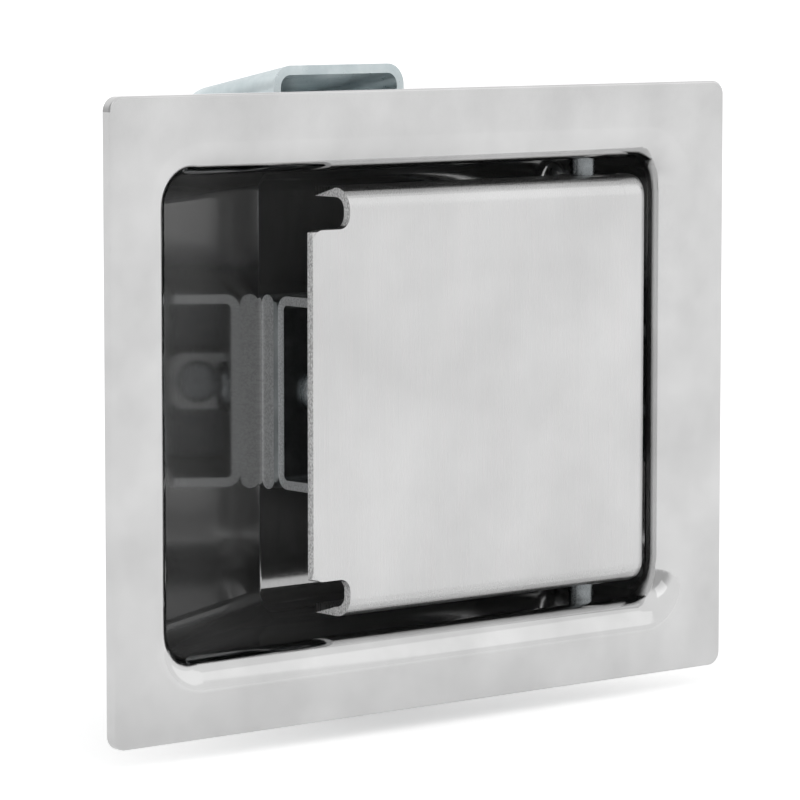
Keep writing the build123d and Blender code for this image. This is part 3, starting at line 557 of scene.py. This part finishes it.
# %% Bolt spring
BOLT_WIRE = 0.9 * MM
BOLT_TURNS = 9.0
TURN_STEPS = 40  # points in each turn
low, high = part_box("bolt_spring")
axis_y = (low.y + high.y) / 2
coil_r = (high.z - low.z) / 2 - BOLT_WIRE / 2
length = high.x - low.x - BOLT_WIRE
open_pitch = (length - 2 * BOLT_WIRE) / (BOLT_TURNS - 2)
coil = []
for step in range(int(BOLT_TURNS * TURN_STEPS) + 1):
    turn = step / TURN_STEPS
    closed = min(turn, 1) + max(turn - (BOLT_TURNS - 1), 0)
    x = low.x + BOLT_WIRE / 2 + closed * BOLT_WIRE + (turn - closed) * open_pitch
    angle = 2 * pi * turn
    coil.append((x, axis_y + coil_r * cos(angle), coil_r * sin(angle)))
bolt_spring = wire("bolt_spring_wound", coil, BOLT_WIRE / 2)
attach(bolt_spring, "pan_body")
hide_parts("bolt_spring")
print("open pitch, mm:", round(open_pitch / MM, 2))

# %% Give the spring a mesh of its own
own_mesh(bolt_spring)

# %% [markdown]
# ### The paddle spring
# A torsion spring sits round the hinge pin and turns the paddle shut. Its lower leg bears on the pan's wall
# and its upper leg behind the paddle's face. When the paddle opens, the coil winds up about the pin. A
# spring that rode on one body would leave the other, so here the piece rides on neither.

# %% Paddle spring
PADDLE_WIRE = 0.9 * MM
PADDLE_PITCH = 1.1 * MM
PADDLE_LEAN = radians(20.0)  # of the upper leg, towards the face
PADDLE_TURNS = 4.5 - PADDLE_LEAN / (2 * pi)
PADDLE_COIL_R = 2.65 * MM  # to the middle of the wire
LEG_GAP = 0.15 * MM  # between the lower leg and the wall
pin = Vector(next(j for j in frame["joints"] if j["name"] == "paddle_pull")["pos_m"])
half = PADDLE_PITCH * PADDLE_TURNS / 2
wall_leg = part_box("paddle_spring")[1].x - LEG_GAP - pin.x
paddle_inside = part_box("paddle_spring")[0].y
paddle_leg = (pin.y - PADDLE_COIL_R * cos(PADDLE_LEAN) - PADDLE_WIRE / 2 - paddle_inside) / sin(PADDLE_LEAN)
winding = [(pin.x + wall_leg, pin.y + PADDLE_COIL_R, -half)]
for step in range(int(PADDLE_TURNS * TURN_STEPS) + 1):
    turn = min(step / TURN_STEPS, PADDLE_TURNS)
    angle = pi / 2 + 2 * pi * turn
    around, across = PADDLE_COIL_R * cos(angle), PADDLE_COIL_R * sin(angle)
    winding.append((pin.x + around, pin.y + across, -half + turn * PADDLE_PITCH))
last = winding[-1]
winding.append((last[0] + paddle_leg * cos(PADDLE_LEAN), last[1] - paddle_leg * sin(PADDLE_LEAN), last[2]))
paddle_spring = wire("paddle_spring_wound", winding, PADDLE_WIRE / 2)
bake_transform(paddle_spring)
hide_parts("paddle_spring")
print("upper leg, mm:", round(paddle_leg / MM, 2))

# %% [markdown]
# ## Threaded studs
# The bracket is drawn up on two M5 studs that are welded to the back of the pan. A Screw modifier could
# sweep a thread, but it leaves open ends to close by hand. A thread is a rule, radius by turn and height,
# so each stud is built as rings of points along its axis whose radius follows that rule. A plain collar
# stays at the weld, and the thread runs out into the chamfer at the end.


# %% A stud's rings and its thread
STUD_R = 2.5  # mm, as all sizes of the studs
STUD_CHAMFER = 0.5
COLLAR_R = 3.3
COLLAR_HEIGHT = 0.8
THREAD_PITCH = 0.8
THREAD_DEPTH = 0.45
THREAD_START = 2.2  # plain length above the pan
ROWS_PER_TURN = 8


def stud_rings(base, top):
    """Level and radius of each ring, and whether the thread is cut there."""
    start, collar = base + THREAD_START, base + COLLAR_HEIGHT
    plain = [(base, COLLAR_R), (collar, COLLAR_R), (collar, STUD_R), (start, STUD_R)]
    rows = int((top - base - THREAD_START - STUD_CHAMFER) / THREAD_PITCH * ROWS_PER_TURN)
    levels = [start + THREAD_PITCH * (row + 1) / ROWS_PER_TURN for row in range(rows)]
    rings = [(y, radius, False) for y, radius in plain] + [(y, STUD_R, True) for y in levels]
    return rings + [(top, STUD_R - STUD_CHAMFER, False)]


def thread_cut(y, height, share):
    """Depth of the thread at level y and a share of a turn; it deepens over its first pitch of height."""
    phase = (y / THREAD_PITCH - share) % 1.0
    return min(THREAD_DEPTH * (1 - abs(2 * phase - 1)), THREAD_DEPTH * height / THREAD_PITCH)


print("thread, mm:", THREAD_PITCH, "pitch,", THREAD_DEPTH, "deep")


# %% Studs from their rings
SIDES = 32


def stud_mesh(name, base, top, rods):
    """Studs along +Y from base to top at the heights in rods, in mm."""
    rings = stud_rings(base, top)
    vertices, faces = [], []
    for z in rods:
        first = len(vertices)
        for y, radius, threaded in rings:
            for side in range(SIDES):
                share = side / SIDES
                cut = thread_cut(y, y - base - THREAD_START, share) if threaded else 0.0
                across = (radius - cut) * cos(2 * pi * share)
                up = (radius - cut) * sin(2 * pi * share)
                vertices.append((across * MM, y * MM, (z + up) * MM))
        for ring in range(len(rings) - 1):
            for side in range(SIDES):
                a = first + ring * SIDES + side
                b = first + ring * SIDES + (side + 1) % SIDES
                faces.append((a, a + SIDES, b + SIDES, b))
        faces.append([first + side for side in range(SIDES)])
        faces.append([len(vertices) - 1 - side for side in range(SIDES)])
    mesh = bpy.data.meshes.new(name)
    mesh.from_pydata(vertices, [], faces)
    mesh.validate()
    return mesh


low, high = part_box("mounting_studs")
spacing = (high.z - low.z) / MM - 2 * COLLAR_R
studs = stud_mesh("mounting_studs_threaded", low.y / MM, high.y / MM, (-spacing / 2, spacing / 2))
studs.materials.append(zinc_turned)
studs_piece = add_object("mounting_studs_threaded", studs)
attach(studs_piece, "pan_body")
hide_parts("mounting_studs")
print("studs, mm apart:", round(spacing, 1), "faces:", len(studs.polygons))

# %% [markdown]
# ## Backdrop
# Metal shows what surrounds it. An image of a studio could light the latch, but its shapes would show in
# the steel. A white tent all round gives sheet steel its even silver-grey, and what is dark on the latch is
# dark because the latch shades and mirrors itself. The world is that tent. Its wall on the left is grey
# where metal mirrors it, so the curves that look that way show an edge to their light.

# %% World
WORLD_FILL = 0.82  # on surfaces; the backdrop itself is white
LEFT_WALL = 0.5  # of white, on the left-hand side
WALL_FROM, WALL_TO = -0.75, -0.25  # share of the direction that points right, over which the grey ends
world = bpy.data.worlds.new("tent")
bpy.context.scene.world = world
world.use_nodes = True
tree = world.node_tree
rays = node(tree, "ShaderNodeLightPath").outputs
seen = node(
    tree, "ShaderNodeMath", {0: rays["Is Camera Ray"], 1: rays["Is Glossy Ray"]}, operation="ADD"
).outputs[0]
seen = node(
    tree, "ShaderNodeMath", {0: seen, 1: rays["Is Transmission Ray"]}, operation="ADD", use_clamp=True
).outputs[0]
level = node(
    tree, "ShaderNodeMapRange", {"Value": seen, "To Min": WORLD_FILL, "To Max": 1.0}
).outputs["Result"]
direction = node(tree, "ShaderNodeTexCoord").outputs["Generated"]
rightward = node(tree, "ShaderNodeSeparateXYZ", {"Vector": direction}).outputs["X"]
wall = node(
    tree,
    "ShaderNodeMapRange",
    {"Value": rightward, "From Min": WALL_FROM, "From Max": WALL_TO, "To Min": LEFT_WALL, "To Max": 1.0},
    interpolation_type="SMOOTHSTEP",
).outputs["Result"]
not_mirrored = node(
    tree, "ShaderNodeMath", {0: 1.0, 1: rays["Is Glossy Ray"]}, operation="SUBTRACT"
).outputs[0]
tent = node(tree, "ShaderNodeMath", {0: wall, 1: not_mirrored}, operation="MAXIMUM").outputs[0]
strength = node(tree, "ShaderNodeMath", {0: level, 1: tent}, operation="MULTIPLY").outputs[0]
background = tree.nodes["Background"]
background.inputs["Color"].default_value = linear("FFFFFF")
tree.links.new(strength, background.inputs["Strength"])
print("world fill:", WORLD_FILL, "left wall:", LEFT_WALL)

# %% [markdown]
# ## Floor
# The latch stands on a sheet of white paper that runs out of sight. Where the camera or a mirror sees the
# paper it is lifted towards white, and what falls on it as shadow still shows.

# %% Floor
FLOOR_SIZE = 40.0  # m
FLOOR_LIFT = 0.42  # added where the floor is seen as the backdrop
MIRRORED_LIFT = 0.26  # added where metal mirrors it
reach = FLOOR_SIZE / 2
floor_z = cad_box[0][2]
floor_mesh = bpy.data.meshes.new("floor")
floor_mesh.from_pydata(
    [(-reach, -reach, floor_z), (reach, -reach, floor_z), (reach, reach, floor_z), (-reach, reach, floor_z)],
    [],
    [(0, 1, 2, 3)],
)
floor = add_object("floor", floor_mesh)
print("floor height, mm:", round(floor_z / MM, 2))

# %% Paper on the floor
# Matt white paper: it scatters all light evenly and shows no gloss.
paper = bpy.data.materials.new("paper_white_matt")
paper.use_nodes = True
tree = paper.node_tree
shader = tree.nodes["Principled BSDF"]
shader.inputs["Base Color"].default_value = linear("F4F4F4")
shader.inputs["Roughness"].default_value = 0.9
shader.inputs["Emission Color"].default_value = linear("FFFFFF")
rays = node(tree, "ShaderNodeLightPath").outputs
mirrored = node(
    tree, "ShaderNodeMath", {0: rays["Is Glossy Ray"], 1: rays["Is Transmission Ray"]},
    operation="ADD", use_clamp=True,
).outputs[0]
part_lift = node(tree, "ShaderNodeMath", {0: mirrored, 1: MIRRORED_LIFT}, operation="MULTIPLY").outputs[0]
lift = node(
    tree, "ShaderNodeMath", {0: rays["Is Camera Ray"], 1: FLOOR_LIFT, 2: part_lift}, operation="MULTIPLY_ADD"
).outputs[0]
tree.links.new(lift, shader.inputs["Emission Strength"])
floor_mesh.materials.append(paper)
print("floor paper:", paper.name)

# %% [markdown]
# ## Lamps
# The tent lights the latch evenly, which would leave it flat. Two broad, weak lamps add a soft direction,
# the stronger one from the upper left, and give the shadow on the floor its side.


# %% Lamps
def softbox(name, place, watts, size):
    """Square lamp at a place in metres, turned towards the latch."""
    lamp = bpy.data.lights.new(name, "AREA")
    lamp.energy = watts
    lamp.size = size
    lit = add_object(name, lamp)
    lit.location = place
    lit.rotation_euler = (-Vector(place)).to_track_quat("-Z", "Y").to_euler()
    print(name, "watts:", watts, "size, m:", size)


softbox("key", place=(-0.55, -0.75, 0.75), watts=0.5, size=0.7)
softbox("fill", place=(0.85, -0.55, 0.45), watts=0.3, size=0.7)
bpy.context.scene.view_settings.view_transform = "Standard"
